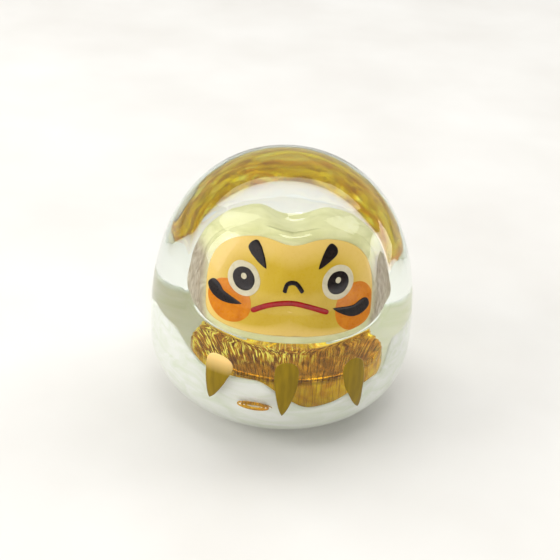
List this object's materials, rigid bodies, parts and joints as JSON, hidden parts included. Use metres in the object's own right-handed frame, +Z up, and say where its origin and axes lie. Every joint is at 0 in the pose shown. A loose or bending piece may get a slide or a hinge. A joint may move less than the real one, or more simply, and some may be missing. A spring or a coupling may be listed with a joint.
{
  "type": "glass daruma doll",
  "caption": "Small egg-shaped daruma doll of solid clear glass with gold foil inside and an enamelled scowling face.",
  "frame": {"origin": "middle of the base, on the surface the doll stands on", "axes": "+Z up along the doll's axis, the face towards -Y, +X to the right as seen from the front"},
  "size_m": [0.044, 0.044, 0.0428],
  "materials": {
    "clear_glass": "fire polished, clear with a faint green tint",
    "milky_glass": "glossy, opal pale green with soft flow streaks",
    "gold_foil": "bright crumpled leaf with fine creases",
    "gold_enamel": "satin olive gold, brushed on by hand",
    "tan_enamel": "glossy, fired on",
    "orange_enamel": "glossy, fired on",
    "white_enamel": "glossy, fired on",
    "black_enamel": "glossy, fired on",
    "red_enamel": "glossy, fired on"
  },
  "bodies": {
    "root": {"glass_casing": "clear_glass", "milky_bowl": "milky_glass", "glass_core": "clear_glass", "gold_foil": "gold_foil", "face_pad": "milky_glass", "face_enamel": "tan_enamel", "nose": "black_enamel", "mouth": "red_enamel", "cheek_left": "orange_enamel", "cheek_right": "orange_enamel", "eye_white_left": "white_enamel", "eye_white_right": "white_enamel", "pupil_left": "black_enamel", "pupil_right": "black_enamel", "glint_left": "white_enamel", "glint_right": "white_enamel", "brow_left": "black_enamel", "brow_right": "black_enamel", "cheek_stroke_left": "black_enamel", "cheek_stroke_right": "black_enamel", "belly_stroke_left": "gold_enamel", "belly_stroke_middle": "gold_enamel", "belly_stroke_right": "gold_enamel"}
  },
  "joints": []
}
